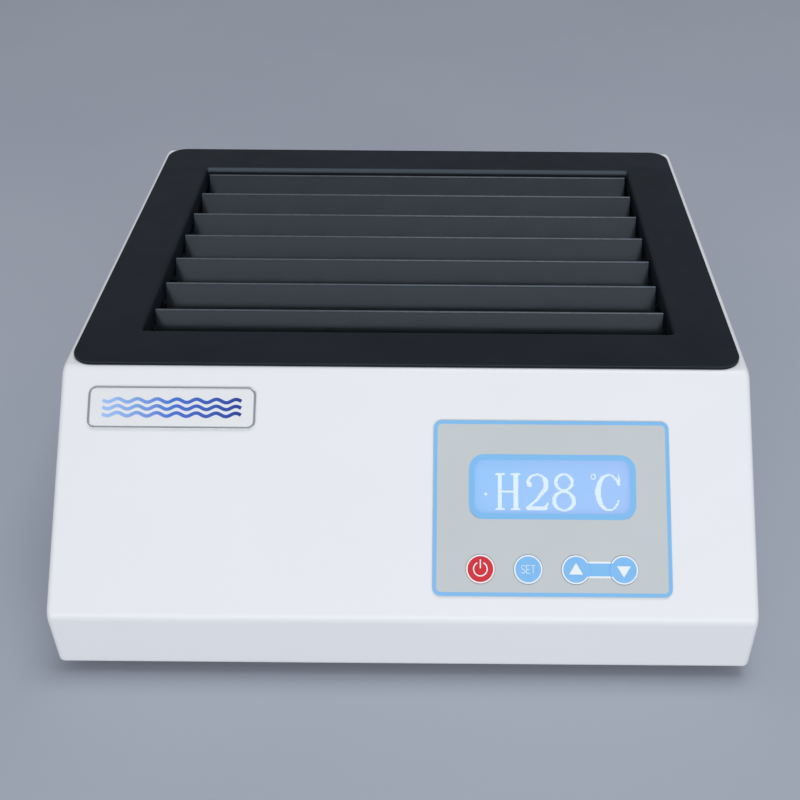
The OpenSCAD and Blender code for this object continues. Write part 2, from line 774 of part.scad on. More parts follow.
module inlet_socket() color("#1B1C1F") difference() {
    union() {
        on_inlet(0, 0, -inlet_deep) linear_extrude(inlet_deep) square([inlet_w, inlet_h], center = true);
        on_inlet() linear_extrude(inlet_flange_t) rounded_rect(50, inlet_h + 4, 4);
    }
    on_inlet(0, socket_y, socket_floor) linear_extrude(inlet_flange_t - socket_floor + cut)
        polygon([
            [-socket_w / 2, -socket_h / 2], [socket_w / 2, -socket_h / 2],
            [socket_w / 2, socket_h / 2 - socket_corner], [socket_w / 2 - socket_corner, socket_h / 2],
            [socket_corner - socket_w / 2, socket_h / 2], [-socket_w / 2, socket_h / 2 - socket_corner]
        ]);
    on_inlet(0, drawer_y, drawer_back - slip) linear_extrude(inlet_flange_t - drawer_back + slip + cut)
        square([drawer_w + 2 * slip, drawer_h + 2 * slip], center = true);
    for (p = PINS) on_inlet(p[0], p[1], -inlet_deep - cut) linear_extrude(inlet_deep)
        square([pin_w + 2 * thread_gap, pin_h + 2 * thread_gap], center = true);
    for (x = [-inlet_ear_x, inlet_ear_x]) on_inlet(x, 0, -cut)
        cylinder(d = 3 + 2 * hole_gap, h = inlet_flange_t + 2 * cut);
}

module inlet_pins() color("#D3C07A")
    for (p = PINS) on_inlet(p[0], p[1], -pin_tail) linear_extrude(pin_tail + socket_floor + pin_len)
        square([pin_w, pin_h], center = true);

module inlet_screws() color("#B8BCC2")
    for (x = [-inlet_ear_x, inlet_ear_x]) on_inlet(x, 0, inlet_flange_t) pan_screw(3, 8, 5.2, 1.4);

module fuse_drawer() color("#232427") on_inlet(0, drawer_y) difference() {
    union() {
        translate([-drawer_w / 2, -drawer_h / 2, drawer_back])
            cube([drawer_w, drawer_h, inlet_flange_t - drawer_back]);
        translate([-12, -5.5, inlet_flange_t]) cube([24, 10.5, rear_proud - inlet_flange_t]);
    }
    // trough for the fuse, open upwards
    translate([-fuse_d / 2 - slip, -fuse_d / 2 - slip, -fuse_len - 2.5])
        cube([fuse_d + 2 * slip, drawer_h, fuse_len + 1]);
    // finger notch below the face
    translate([-4, -6.5, inlet_flange_t + 0.6]) cube([8, 2, 2]);
}

module fuse() color("#D9DDE0") on_inlet(0, drawer_y, -fuse_len - 2) {
    cylinder(d = fuse_d - 0.4, h = fuse_len);
    for (z = [0, fuse_len - 5]) translate([0, 0, z]) cylinder(d = fuse_d, h = 5);
}

module on_switch(out = 0) {
    on_rear(switch_x, switch_z, out) children();
}

module switch_housing() color("#1B1C1F") difference() {
    union() {
        on_switch(-switch_deep) linear_extrude(switch_deep) square([bezel_w - 2, bezel_h - 2], center = true);
        on_switch() linear_extrude(bezel_t) rounded_rect(bezel_w, bezel_h, 1.5);
        for (y = [-5, 5]) on_switch(-switch_tab_end)
            translate([-2.4, y - 0.4, 0]) cube([4.8, 0.8, switch_tab_end - switch_deep + 1]);
    }
    on_switch(-8) linear_extrude(8 + bezel_t + cut) square([rocker_w + 0.6, 17.6], center = true);
    on_switch(pivot_out) rotate([0, 90, 0]) cylinder(d = pivot_d + 0.1, h = rocker_w + 2.2, center = true);
}

// The rocker stands with its upper end pressed in, which is on.
module power_rocker() color("#26272A") on_switch(pivot_out) rotate([-rocker_deg, 0, 0]) {
    rotate([90, 0, 90]) linear_extrude(rocker_w, center = true)
        polygon([[-6, -2], [6, -2], [7.6, 5.5], [0, 4], [-7.6, 5.5]]);
    rotate([0, 90, 0]) cylinder(d = pivot_d, h = rocker_w + 2, center = true);
}

module earth_stud() color("#C9A961") translate([earth_at[0], earth_at[1], base_top]) cylinder(d = 4, h = 10);

module earth_nut() color("#C9A961") translate([earth_at[0], earth_at[1], base_top + 1.2])
    hex_nut(nut_across, nut_h, 4 + 2 * thread_gap);

// ---------------------------------------------------------------- feet and screws

module rubber_feet() color("#1E1F21") for (p = FEET) translate([p[0], p[1], 0]) difference() {
    cylinder(d1 = foot_d - 2, d2 = foot_d, h = foot_h);
    translate([0, 0, -cut]) cylinder(d = 9, h = foot_h / 2 + cut);
    cylinder(d = 4 + 2 * hole_gap, h = foot_h + cut);
}

module foot_screws() color("#B8BCC2") for (p = FEET) translate([p[0], p[1], foot_h / 2])
    rotate([180, 0, 0]) pan_screw(4, foot_h / 2 + sheet + 5, 8, 2.4);

module foot_nuts() color("#B8BCC2") for (p = FEET) translate([p[0], p[1], base_top])
    hex_nut(nut_across, nut_h, 4 + 2 * thread_gap);

module cover_screws() color("#D5D8DC") for (side = [-1, 1], p = SIDE_SCREWS)
    on_side(side, p[0], p[1]) pan_screw(3, 6, 5.6, 1.8);

module rear_screws() color("#D5D8DC") for (x = rear_screw_xs)
    on_rear(x, side_screw_z) pan_screw(3, 6, 5.6, 1.8);

housing_cover();
base_tray();
rear_panel();
top_panel();
panel_nuts();
tray_gasket();
heating_tray();
fin_1();
fin_2();
fin_3();
fin_4();
fin_5();
fin_6();
fin_7();
fin_rivets();
heater_mat();
clamp_plate();
insulation_pad();
heat_shield();
shield_pillars();
shield_screws();
temperature_sensor();
sensor_clip();
thermal_cutout();
membrane_panel();
lcd_window();
lcd_module();
display_board();
tact_switches();
key_power();
key_set();
key_up();
key_down();
display_pillars();
display_screws();
nameplate();
control_board();
transformer();
relay();
terminal_block();
control_pillars();
control_screws();
display_cable();
mains_wires();
heater_leads();
sensor_lead();
inlet_socket();
inlet_pins();
inlet_screws();
fuse_drawer();
fuse();
switch_housing();
power_rocker();
earth_stud();
earth_nut();
rubber_feet();
foot_screws();
foot_nuts();
cover_screws();
rear_screws();
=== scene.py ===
"""Dry block heater with a finned slide well: finishes, printed faces and light around the CAD parts."""
import json
import math

import bmesh
import bpy
from mathutils import Matrix, Vector


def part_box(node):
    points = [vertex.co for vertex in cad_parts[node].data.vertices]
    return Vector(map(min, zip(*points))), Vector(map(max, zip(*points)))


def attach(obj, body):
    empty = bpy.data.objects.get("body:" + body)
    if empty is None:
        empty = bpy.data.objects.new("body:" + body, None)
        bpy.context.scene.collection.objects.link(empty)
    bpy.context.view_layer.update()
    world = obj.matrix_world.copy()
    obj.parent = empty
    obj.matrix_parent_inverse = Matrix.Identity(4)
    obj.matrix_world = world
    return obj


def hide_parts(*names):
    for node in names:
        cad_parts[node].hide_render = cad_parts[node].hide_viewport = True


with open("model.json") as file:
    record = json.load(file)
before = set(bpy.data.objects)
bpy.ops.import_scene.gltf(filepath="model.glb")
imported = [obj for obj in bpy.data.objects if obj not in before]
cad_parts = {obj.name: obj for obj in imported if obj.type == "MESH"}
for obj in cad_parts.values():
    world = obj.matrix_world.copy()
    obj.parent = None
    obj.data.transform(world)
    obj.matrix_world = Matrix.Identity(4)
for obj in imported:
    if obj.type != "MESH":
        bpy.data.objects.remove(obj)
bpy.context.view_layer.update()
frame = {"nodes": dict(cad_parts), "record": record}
nodes = frame["nodes"]
slot_of = {part["node"]: part["material_slot"] for part in frame["record"]["subparts"]}

MM = 0.001
WELD = 1e-6  # metres within which two CAD points are one
FLAT_ANGLE = math.radians(0.5)  # faces that turn less than this are one flat face

# ---------------------------------------------------------------- sizes, in millimetres

SLOPE_RUN = 79
BAND_H = 30
BEND_R = 5.5
EDGE_ROUND = 3.0  # the housing's long outer edges
CORNER_GROW = 1.5  # how much faster than its edges the housing's bends widen at its sides

# The control face, measured right from the middle and down the slope from its top edge.
MEMBRANE = {"x": 63.4, "s": 60.4, "w": 102.0, "h": 75.4, "r": 3.6, "top": 0.8}
BORDER_W = 1.75
BORDER_INSET = 0.15
WINDOW = {"x": 63.7, "s": 51.5, "w": 71.9, "h": 27.9, "r": 6.6}
WINDOW_FRAME = 2.4
LCD_TOP = -2.2
KEY_X0 = 32.8
KEY_PITCH = 20.3
KEY_S = 86.6
KEY_TOP = 1.15
KEY_RING = (5.45, 6.1)  # its inner and outer radius
LINK_H = 5.4
LINK_LINE = 0.75
LINK_FROM_KEY = 5.4  # from a key's middle to the end of the bar between the arrow keys
LINK_HALF = KEY_PITCH / 2 - LINK_FROM_KEY
PRINT_T = 0.05
NAMEPLATE = {"x": -101.6, "s": 18.3, "w": 73.1, "h": 18.5, "r": 3.6, "rim": 1.0, "top": 1.0, "rim_h": 0.35}
FACE_GAP = 0.05  # between the nameplate's face and its rim
WAVES = {"half": 30.2, "rows": 3.05, "height": 0.75, "length": 8.6, "line": 1.5, "steps": 120}

housing_low, housing_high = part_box("housing_cover")
top_z = housing_high.z
front_y = housing_low.y
fins_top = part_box("fin_1")[1].z
slope = math.atan2((top_z - housing_low.z) / MM - BAND_H, SLOPE_RUN)
SLOPE = Matrix.Translation((0, front_y + SLOPE_RUN * MM, top_z)) @ Matrix.Rotation(slope, 4, "X")


def on_slope(x, s, n=0.0):
    """Local X to the right, local Y up the slope and local Z out of it, with millimetres as its unit."""
    return SLOPE @ Matrix.Translation((x * MM, -s * MM, n * MM)) @ Matrix.Scale(MM, 4)


# ---------------------------------------------------------------- camera

LENS = 48.6
SENSOR = 36
CAMERA_AT = (0.0172, -0.4603, 0.3868)
CAMERA_DOWN = 37.42
CAMERA_ROLL = 0.44
CAMERA_YAW = 0.03
CAMERA_SHIFT = -0.0556

camera = bpy.data.objects.new("camera", bpy.data.cameras.new("camera"))
bpy.context.scene.collection.objects.link(camera)
bpy.context.scene.camera = camera
camera.data.lens = LENS
camera.data.sensor_width = SENSOR
camera.data.shift_x = CAMERA_SHIFT
camera.data.clip_start = 0.01
camera.data.clip_end = 100
camera.matrix_world = (
    Matrix.Translation(CAMERA_AT)
    @ Matrix.Rotation(math.radians(CAMERA_YAW), 4, "Z")
    @ Matrix.Rotation(math.radians(90 - CAMERA_DOWN), 4, "X")
    @ Matrix.Rotation(math.radians(CAMERA_ROLL), 4, "Z")
)

# ---------------------------------------------------------------- materials

EDGE_TURN = 1 / 6  # how far a bevelled normal turns, as 1 minus a cosine, where an edge shows fully
# Where the black coat carries a painted highlight, in metres and as the normal's Y: the top of the well's
# back lip, painted lighter where it turns towards the front.
LIP_Y = (0.09, 0.1)
LIP_Z = (top_z - 1.1 * MM, top_z - 0.5 * MM)
LIP_FACING = (-0.2, -0.7)
# Where the fins carry a painted highlight, in metres and as the normal's Z: their round tops.
FIN_Z = (fins_top - 2.2 * MM, fins_top - 1.2 * MM)
FIN_FACING = (0.54, 0.85)


def linear(hex_color):
    """A display colour such as #E6E9ED as the linear values that nodes take."""
    out = []
    for i in (1, 3, 5):
        v = int(hex_color[i:i + 2], 16) / 255
        out.append(v / 12.92 if v <= 0.04045 else ((v + 0.055) / 1.055) ** 2.4)
    return (*out, 1.0)


def scaled(color, factor):
    return (*[min(1.0, c * factor) for c in color[:3]], 1.0)


class Tree:
    """Short calls for building one material's nodes."""

    def __init__(self, name):
        self.material = bpy.data.materials.new(name)
        self.material.use_nodes = True
        self.tree = self.material.node_tree
        self.tree.nodes.clear()
        self.out = self.add("ShaderNodeOutputMaterial")
        self.coords = self.add("ShaderNodeTexCoord").outputs["Object"]

    def add(self, kind, **settings):
        node = self.tree.nodes.new(kind)
        for key, value in settings.items():
            setattr(node, key, value)
        return node

    def put(self, socket, value):
        if isinstance(value, bpy.types.NodeSocket):
            self.tree.links.new(value, socket)
        else:
            socket.default_value = value

    def stretched(self, stretch):
        mapping = self.add("ShaderNodeMapping")
        self.put(mapping.inputs["Vector"], self.coords)
        mapping.inputs["Scale"].default_value = stretch
        return mapping.outputs["Vector"]

    def noise(self, cell, detail=3.0, stretch=None):
        """Noise with features about cell metres across."""
        node = self.add("ShaderNodeTexNoise")
        self.put(node.inputs["Vector"], self.stretched(stretch) if stretch else self.coords)
        node.inputs["Scale"].default_value = 1 / cell
        node.inputs["Detail"].default_value = detail
        return node.outputs["Fac"]

    def remap(self, value, low, high, to_low, to_high):
        node = self.add("ShaderNodeMapRange")
        self.put(node.inputs["Value"], value)
        for key, number in zip(("From Min", "From Max", "To Min", "To Max"), (low, high, to_low, to_high)):
            node.inputs[key].default_value = number
        return node.outputs["Result"]

    def vary(self, cell, low, high, within=(0.3, 0.7), detail=3.0):
        """Noise that goes from low to high over the part of its range that it mostly takes."""
        return self.remap(self.noise(cell, detail), *within, low, high)

    def tone(self, cell, color, swing):
        """A colour that goes slowly from a little darker to a little lighter."""
        return self.mix(self.vary(cell, 0, 1), scaled(color, 1 - swing), scaled(color, 1 + swing))

    def maths(self, operation, a, b):
        node = self.add("ShaderNodeMath", operation=operation)
        self.put(node.inputs[0], a)
        self.put(node.inputs[1], b)
        return node.outputs["Value"]

    def times(self, a, b):
        return self.maths("MULTIPLY", a, b)

    def split(self, vector):
        """The X, Y and Z of a vector, by name."""
        node = self.add("ShaderNodeSeparateXYZ")
        self.put(node.inputs["Vector"], vector)
        return node.outputs

    def place(self):
        return self.split(self.coords)

    def facing(self):
        return self.split(self.add("ShaderNodeNewGeometry").outputs["Normal"])

    def mix(self, factor, a, b):
        node = self.add("ShaderNodeMix", data_type="RGBA")
        self.put(node.inputs[0], factor)
        self.put(node.inputs[6], a)
        self.put(node.inputs[7], b)
        return node.outputs[2]

    def bump(self, height, distance):
        node = self.add("ShaderNodeBump")
        node.inputs["Strength"].default_value = 1.0
        node.inputs["Distance"].default_value = distance
        self.put(node.inputs["Height"], height)
        return node.outputs["Normal"]

    def edges(self, radius, most):
        """Up to most along sharp edges, and 0 on flat faces."""
        bevel = self.add("ShaderNodeBevel", samples=4)
        bevel.inputs["Radius"].default_value = radius
        geometry = self.add("ShaderNodeNewGeometry")
        dot = self.add("ShaderNodeVectorMath", operation="DOT_PRODUCT")
        self.put(dot.inputs[0], bevel.outputs["Normal"])
        self.put(dot.inputs[1], geometry.outputs["Normal"])
        return self.remap(dot.outputs["Value"], 1.0, 1.0 - EDGE_TURN, 0.0, most)

    def principled(self, **values):
        node = self.add("ShaderNodeBsdfPrincipled")
        for key, value in values.items():
            self.put(node.inputs[key.replace("_", " ")], value)
        self.tree.links.new(node.outputs["BSDF"], self.out.inputs["Surface"])
        return node


def finish(name, color, rough, metal=0.0, specular=0.5, tone=0.05, patch=0.03, rough_swing=0.08,
           grain=0.0006, grain_depth=0.00001, stretch=None, wear=0.0, wear_color=None, **more):
    """A coated, moulded or bare surface: slow tone and gloss changes, fine grain and, with wear, lighter
    edges. patch and grain are the sizes of the slow and the fine changes in metres."""
    t = Tree(name)
    shade = t.tone(patch, linear(color), tone)
    fine = t.noise(grain, 2.0, stretch)
    gloss = t.vary(patch * 0.4, rough - rough_swing / 2, rough + rough_swing / 2)
    if wear:
        shade = t.mix(t.edges(0.0005, wear), shade, linear(wear_color))
    t.principled(Base_Color=shade, Roughness=gloss, Metallic=metal, Specular_IOR_Level=specular,
                 Normal=t.bump(fine, grain_depth), **more)
    return t.material


def coated_plate(name, color, painted_highlight):
    """Matt black coat, lighter on its edges and on the top of the lip at the back of the well: both are
    painted highlights.
    """
    t = Tree(name)
    shade = t.tone(0.03, linear(color), 0.1)
    # Painted highlight: the top of the well's back lip, lighter where it faces the front.
    at_back = t.remap(t.place()["Y"], *LIP_Y, 0, 1)
    near_top = t.remap(t.place()["Z"], *LIP_Z, 0, 1)
    turned = t.remap(t.facing()["Y"], *LIP_FACING, 0, 1)
    lip_highlight = t.times(t.times(at_back, near_top), turned)
    shade = t.mix(lip_highlight, shade, linear(painted_highlight))
    # Painted highlight along the coat's sharp edges.
    shade = t.mix(t.edges(0.0007, 0.8), shade, linear(painted_highlight))
    t.principled(Base_Color=shade, Roughness=t.vary(0.012, 0.44, 0.52), Specular_IOR_Level=0.08,
                 Specular_Tint=linear("#D5E4FF"), Normal=t.bump(t.noise(0.00035, 2.0), 0.000012))
    return t.material


def anodised_fin(name, color, painted_highlight):
    """Satin black anodising with a drawn grain, and a painted highlight along the round tops of the fins."""
    t = Tree(name)
    shade = t.tone(0.03, linear(color), 0.08)
    # Painted highlight along the fins' round upward-facing tops, uneven in strength.
    upward = t.remap(t.facing()["Z"], *FIN_FACING, 0, 0.9)
    on_top = t.remap(t.place()["Z"], *FIN_Z, 0, 1)
    top_highlight = t.times(t.times(upward, on_top), t.vary(0.004, 0.75, 1.0, within=(0.35, 0.65)))
    shade = t.mix(top_highlight, shade, linear(painted_highlight))
    grain = t.noise(0.0004, 2.0, (0.02, 1, 1))
    t.principled(Base_Color=shade, Roughness=t.vary(0.012, 0.15, 0.2), Specular_IOR_Level=0.34,
                 Specular_Tint=linear("#DBE8FB"), Normal=t.bump(grain, 0.000008))
    return t.material


def glowing(name, color, other, strength):
    """The lit face of the display. Its tint changes softly from left to right."""
    t = Tree(name)
    left = (WINDOW["x"] - WINDOW["w"] / 2) * MM
    across = t.remap(t.place()["X"], left, left + WINDOW["w"] * MM, 0, 0.8)
    cloud = t.vary(0.02, 0, 0.2, within=(0.35, 0.65), detail=1.0)
    shade = t.mix(t.maths("ADD", across, cloud), linear(color), linear(other))
    t.principled(Base_Color=scaled(linear(color), 0.3), Roughness=0.35, Emission_Color=shade,
                 Emission_Strength=strength)
    return t.material


def clear(name):
    """Clear hard-coated film: lets the display show and carries a gloss."""
    t = Tree(name)
    t.principled(Base_Color=linear("#DDEBFA"), Roughness=t.vary(0.01, 0.06, 0.12), Alpha=0.08,
                 Specular_IOR_Level=0.5, Normal=t.bump(t.noise(0.004), 0.000004))
    return t.material


def circuit(name):
    """Green solder mask with a fine pattern of tracks."""
    t = Tree(name)
    tracks = t.add("ShaderNodeTexBrick")
    t.put(tracks.inputs["Vector"], t.coords)
    tracks.inputs["Scale"].default_value = 120
    tracks.inputs["Mortar Size"].default_value = 0.03
    shade = t.mix(tracks.outputs["Fac"], linear("#175B38"), linear("#2C8A58"))
    t.principled(Base_Color=shade, Roughness=0.35, Normal=t.bump(tracks.outputs["Fac"], 0.00004))
    return t.material


MATERIALS = {
    "enamel": finish("enamel", "#EBEDF0", 0.36, specular=0.35, tone=0.006, patch=0.06, rough_swing=0.05,
                     grain=0.0022, grain_depth=0.000012, Coat_Weight=0.15, Coat_Roughness=0.06),
    # The black coat's second colour is a painted highlight on its edges and on the well's back lip.
    "black_coat": coated_plate("black_coat", "#1F2329", "#4A535A"),
    # The anodised fins' second colour is a painted highlight along their tops.
    "black_anodised": anodised_fin("black_anodised", "#182023", "#5E666E"),
    "zinc_steel": finish("zinc_steel", "#B9BEC5", 0.38, metal=0.9, tone=0.12, patch=0.012, grain=0.0015),
    "zinc_fastener": finish("zinc_fastener", "#C4C8CE", 0.28, metal=1.0, tone=0.08, patch=0.002,
                            grain=0.0003),
    "rivet": finish("rivet", "#3A3E44", 0.35, metal=0.8, tone=0.08, patch=0.002, grain=0.0003),
    "silicone": finish("silicone", "#A8452F", 0.6, tone=0.06, grain=0.0008),
    "aluminium_sheet": finish("aluminium_sheet", "#B4B8BD", 0.35, metal=1.0, grain=0.0004,
                              stretch=(0.03, 1, 1)),
    "insulation": finish("insulation", "#D9D4C6", 0.9, tone=0.12, patch=0.004, grain=0.0008,
                         grain_depth=0.0002),
    "probe_steel": finish("probe_steel", "#B6BAC0", 0.22, metal=1.0, tone=0.05, grain=0.0005),
    "black_plastic": finish("black_plastic", "#1B1C1F", 0.42, tone=0.08, grain=0.0005, grain_depth=0.000025,
                            wear=0.25, wear_color="#4A4C50"),
    "membrane": finish("membrane", "#C3CACC", 0.48, tone=0.015, grain=0.00045, grain_depth=0.00001),
    "window": clear("window"),
    "lcd": glowing("lcd", "#8AC6FF", "#A6C4FF", 0.68),
    "circuit_board": circuit("circuit_board"),
    "key_red": finish("key_red", "#D3182A", 0.4, tone=0.03, patch=0.004, grain=0.0004),
    "key_blue": finish("key_blue", "#7FBDF2", 0.4, tone=0.03, patch=0.004, grain=0.0004),
    "nameplate_metal": finish("nameplate_metal", "#D9DCE0", 0.1, metal=1.0, tone=0.03, grain=0.002),
    "terminal_plastic": finish("terminal_plastic", "#3E8C5A", 0.45, grain=0.0006),
    "cable_grey": finish("cable_grey", "#8E949C", 0.5, grain=0.0006),
    "wire_sleeve": finish("wire_sleeve", "#8A5A38", 0.45, grain=0.0006),
    "pin_brass": finish("pin_brass", "#C7AE78", 0.25, metal=1.0, tone=0.06, patch=0.003, grain=0.0003),
    "fuse_glass": finish("fuse_glass", "#C9D6D6", 0.08, tone=0.03, grain=0.001, Alpha=0.6),
    "foot_rubber": finish("foot_rubber", "#1D1E20", 0.8, tone=0.12, grain=0.0006, grain_depth=0.00008),
}
PRINT_BLUE = finish("print_blue", "#7DBDEE", 0.45, tone=0.015, grain=0.0004)
PRINT_WHITE = finish("print_white", "#EEF3F6", 0.45, tone=0.01, grain=0.0004)
DIGITS = glowing("digits", "#E6F2FC", "#DCEBFA", 0.8)
PLATE_FACE = finish("plate_face", "#EBEDEF", 0.36, metal=0.1, tone=0.035, patch=0.0006, grain=0.0005,
                    grain_depth=0.00003)

for name, obj in nodes.items():
    finish_for_node = MATERIALS[slot_of[name]]
    if obj.material_slots:
        for material_slot in obj.material_slots:
            material_slot.material = finish_for_node
    else:
        obj.data.materials.append(finish_for_node)

# ---------------------------------------------------------------- mesh helpers


def rounded(w, h, r, steps=8):
    """The outline of a rectangle with round corners, centred on 0."""
    points = []
    for corner in range(4):
        cx = (w / 2 - r) * (1 if corner in (0, 3) else -1)
        cy = (h / 2 - r) * (1 if corner in (0, 1) else -1)
        for k in range(steps + 1):
            a = math.radians(90 * corner + 90 * k / steps)
            points.append((cx + r * math.cos(a), cy + r * math.sin(a)))
    return points


def circle(r, steps=72):
    turns = [2 * math.pi * k / steps for k in range(steps)]
    return [(r * math.cos(a), r * math.sin(a)) for a in turns]


def slab(bm, outer, low, high, inner=None):
    """A flat solid between two heights. inner is a hole with as many points as outer."""
    def loop(points, z):
        return [bm.verts.new((x, y, z)) for x, y in points]
    top, bottom = loop(outer, high), loop(outer, low)
    count = len(outer)
    for i in range(count):
        j = (i + 1) % count
        bm.faces.new((bottom[i], bottom[j], top[j], top[i]))
    if inner is None:
        bm.faces.new(top)
        bm.faces.new(bottom[::-1])
        return
    hole_top, hole_bottom = loop(inner, high), loop(inner, low)
    for i in range(count):
        j = (i + 1) % count
        bm.faces.new((top[i], top[j], hole_top[j], hole_top[i]))
        bm.faces.new((bottom[j], bottom[i], hole_bottom[i], hole_bottom[j]))
        bm.faces.new((hole_bottom[j], hole_bottom[i], hole_top[i], hole_top[j]))


def ribbon(bm, points, width, low, high):
    """A flat stroke along points, square at its ends."""
    left, right = [], []
    for i, p in enumerate(points):
        a, b = points[max(i - 1, 0)], points[min(i + 1, len(points) - 1)]
        along = (Vector(b) - Vector(a)).normalized()
        aside_x, aside_y = along.y * width / 2, along.x * width / 2
        left.append((p[0] - aside_x, p[1] + aside_y))
        right.append((p[0] + aside_x, p[1] - aside_y))
    slab(bm, right + left[::-1], low, high)


def arc(r, start, end, steps=40, cx=0.0, cy=0.0, ry=None):
    """Points from one angle to another, in degrees, measured from the right."""
    points = []
    for k in range(steps + 1):
        a = math.radians(start + (end - start) * k / steps)
        points.append((cx + r * math.cos(a), cy + (r if ry is None else ry) * math.sin(a)))
    return points


def piece(name, bm, material, body, matrix=None):
    """Turns mesh data into a piece that rides on a body."""
    if matrix is not None:
        bm.transform(matrix)
    bmesh.ops.recalc_face_normals(bm, faces=bm.faces)
    mesh = bpy.data.meshes.new(name)
    bm.to_mesh(mesh)
    bm.free()
    mesh.materials.append(material)
    obj = bpy.data.objects.new(name, mesh)
    bpy.context.scene.collection.objects.link(obj)
    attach(obj, body)
    return obj


def soften(obj, width):
    """Rounds a CAD node's sharp edges by a width in millimetres."""
    weld = obj.modifiers.new("weld", "WELD")
    weld.merge_threshold = WELD
    flat = obj.modifiers.new("flat", "DECIMATE")
    flat.decimate_type = "DISSOLVE"
    flat.angle_limit = FLAT_ANGLE
    bevel = obj.modifiers.new("bevel", "BEVEL")
    bevel.width = width * MM
    bevel.segments = 3
    bevel.limit_method = "ANGLE"
    bevel.angle_limit = math.radians(30)
    bevel.harden_normals = True


# ---------------------------------------------------------------- housing

SHARP_ANGLE = math.radians(28)


def bend(cy, cz, r, start, end, steps=12):
    return [(cy + r * math.cos(a), cz + r * math.sin(a))
            for a in (math.radians(start + (end - start) * k / steps) for k in range(steps + 1))]


def side_outline(inset):
    """Side view of the housing in depth and height, moved in all round. Its bends widen as it moves in."""
    lean = math.degrees(slope)
    r = BEND_R + CORNER_GROW * inset
    reach = r + inset
    bottom, top = housing_low.z / MM, housing_high.z / MM
    front, rear = housing_low.y / MM, housing_high.y / MM
    foot_r = EDGE_ROUND - inset
    band_bend_z = bottom + BAND_H - reach * math.tan((math.pi / 2 - slope) / 2)
    top_bend_y = front + SLOPE_RUN + reach * math.tan(slope / 2)
    return (bend(front + EDGE_ROUND, bottom + EDGE_ROUND, foot_r, 270, 180, 6)
            + bend(front + reach, band_bend_z, r, 180, 90 + lean)
            + bend(top_bend_y, top - reach, r, 90 + lean, 90)
            + bend(rear - reach, top - reach, r, 90, 0)
            + [(rear - inset, bottom + inset)])


def rounded_block():
    """A solid whose skin lies just outside the housing's walls and has its long edges rounded."""
    bm = bmesh.new()
    side = housing_high.x / MM
    steps, clear_of_walls = 8, 0.01
    sections = []
    for k in range(steps + 1):
        a = math.radians(90 * k / steps)
        sections.append((side + clear_of_walls - EDGE_ROUND * (1 - math.cos(a)),
                         EDGE_ROUND * (1 - math.sin(a)) - clear_of_walls))
    sections += [(-x, inset) for x, inset in reversed(sections)]
    rings = [[bm.verts.new((x, y, z)) for y, z in side_outline(inset)] for x, inset in sections]
    for a, b in zip(rings, rings[1:]):
        for i in range(len(a)):
            j = (i + 1) % len(a)
            bm.faces.new((a[i], a[j], b[j], b[i]))
    bm.faces.new(rings[0])
    bm.faces.new(rings[-1])
    bmesh.ops.recalc_face_normals(bm, faces=bm.faces)
    bm.transform(Matrix.Scale(MM, 4))
    return bm


def housing_shell():
    """The CAD housing with its long outer edges rounded, as folded and ground sheet is."""
    bm = bmesh.new()
    bm.from_mesh(nodes["housing_cover"].data)
    bmesh.ops.remove_doubles(bm, verts=bm.verts, dist=WELD)
    bmesh.ops.dissolve_limit(bm, angle_limit=FLAT_ANGLE, verts=bm.verts, edges=bm.edges)
    shell = piece("housing_shell", bm, MATERIALS["enamel"], "chassis")
    block_mesh = bpy.data.meshes.new("block")
    block_bm = rounded_block()
    block_bm.to_mesh(block_mesh)
    block_bm.free()
    block = bpy.data.objects.new("block", block_mesh)
    bpy.context.scene.collection.objects.link(block)
    keep = shell.modifiers.new("keep", "BOOLEAN")
    keep.operation = "INTERSECT"
    keep.solver = "EXACT"
    keep.object = block
    result = shell.evaluated_get(bpy.context.evaluated_depsgraph_get())
    cut_mesh = bpy.data.meshes.new_from_object(result)
    shell.modifiers.clear()
    bpy.data.objects.remove(block)
    bm = bmesh.new()
    bm.from_mesh(cut_mesh)
    bmesh.ops.remove_doubles(bm, verts=bm.verts, dist=2 * WELD)
    for face in bm.faces:
        face.smooth = True
    for edge in bm.edges:
        edge.smooth = len(edge.link_faces) == 2 and edge.calc_face_angle(0) < SHARP_ANGLE
    bm.to_mesh(shell.data)
    bm.free()
    weighted = shell.modifiers.new("weighted", "WEIGHTED_NORMAL")
    weighted.keep_sharp = True
    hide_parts("housing_cover")


housing_shell()

# ---------------------------------------------------------------- control face

def print_piece(name, draw, x, s, n, material, body="chassis"):
    """A thin printed layer on the control face. draw adds its shapes to a mesh in millimetres."""
    bm = bmesh.new()
    draw(bm)
    return piece(name, bm, material, body, on_slope(x, s, n))


def membrane_prints():
    m, w = MEMBRANE, WINDOW

    def inside(area, inset):
        return rounded(area["w"] - 2 * inset, area["h"] - 2 * inset, area["r"] - inset)

    def border(bm):
        slab(bm, inside(m, BORDER_INSET), 0, PRINT_T, inside(m, BORDER_W))
    print_piece("membrane_border", border, m["x"], m["s"], m["top"], PRINT_BLUE)

    def window_frame(bm):
        slab(bm, inside(w, 0), 0, PRINT_T, inside(w, WINDOW_FRAME))
    print_piece("window_frame", window_frame, w["x"], w["s"], m["top"], PRINT_BLUE)

    def link(bm):
        slab(bm, rounded(2 * LINK_HALF, LINK_H, 0.1, 1), 0, PRINT_T)
    middle = KEY_X0 + 2.5 * KEY_PITCH
    print_piece("key_link", link, middle, KEY_S, m["top"], PRINT_BLUE)

    def link_lines(bm):
        for side in (-1, 1):
            y = side * (LINK_H + LINK_LINE) / 2
            ribbon(bm, [(-LINK_HALF, y), (LINK_HALF, y)], LINK_LINE, 0, PRINT_T)
    print_piece("key_link_lines", link_lines, middle, KEY_S, m["top"], PRINT_WHITE)


def power_symbol(bm):
    ribbon(bm, arc(2.9, 116, 424), 0.5, 0, PRINT_T)
    ribbon(bm, [(0, 0.3), (0, 4.0)], 0.5, 0, PRINT_T)


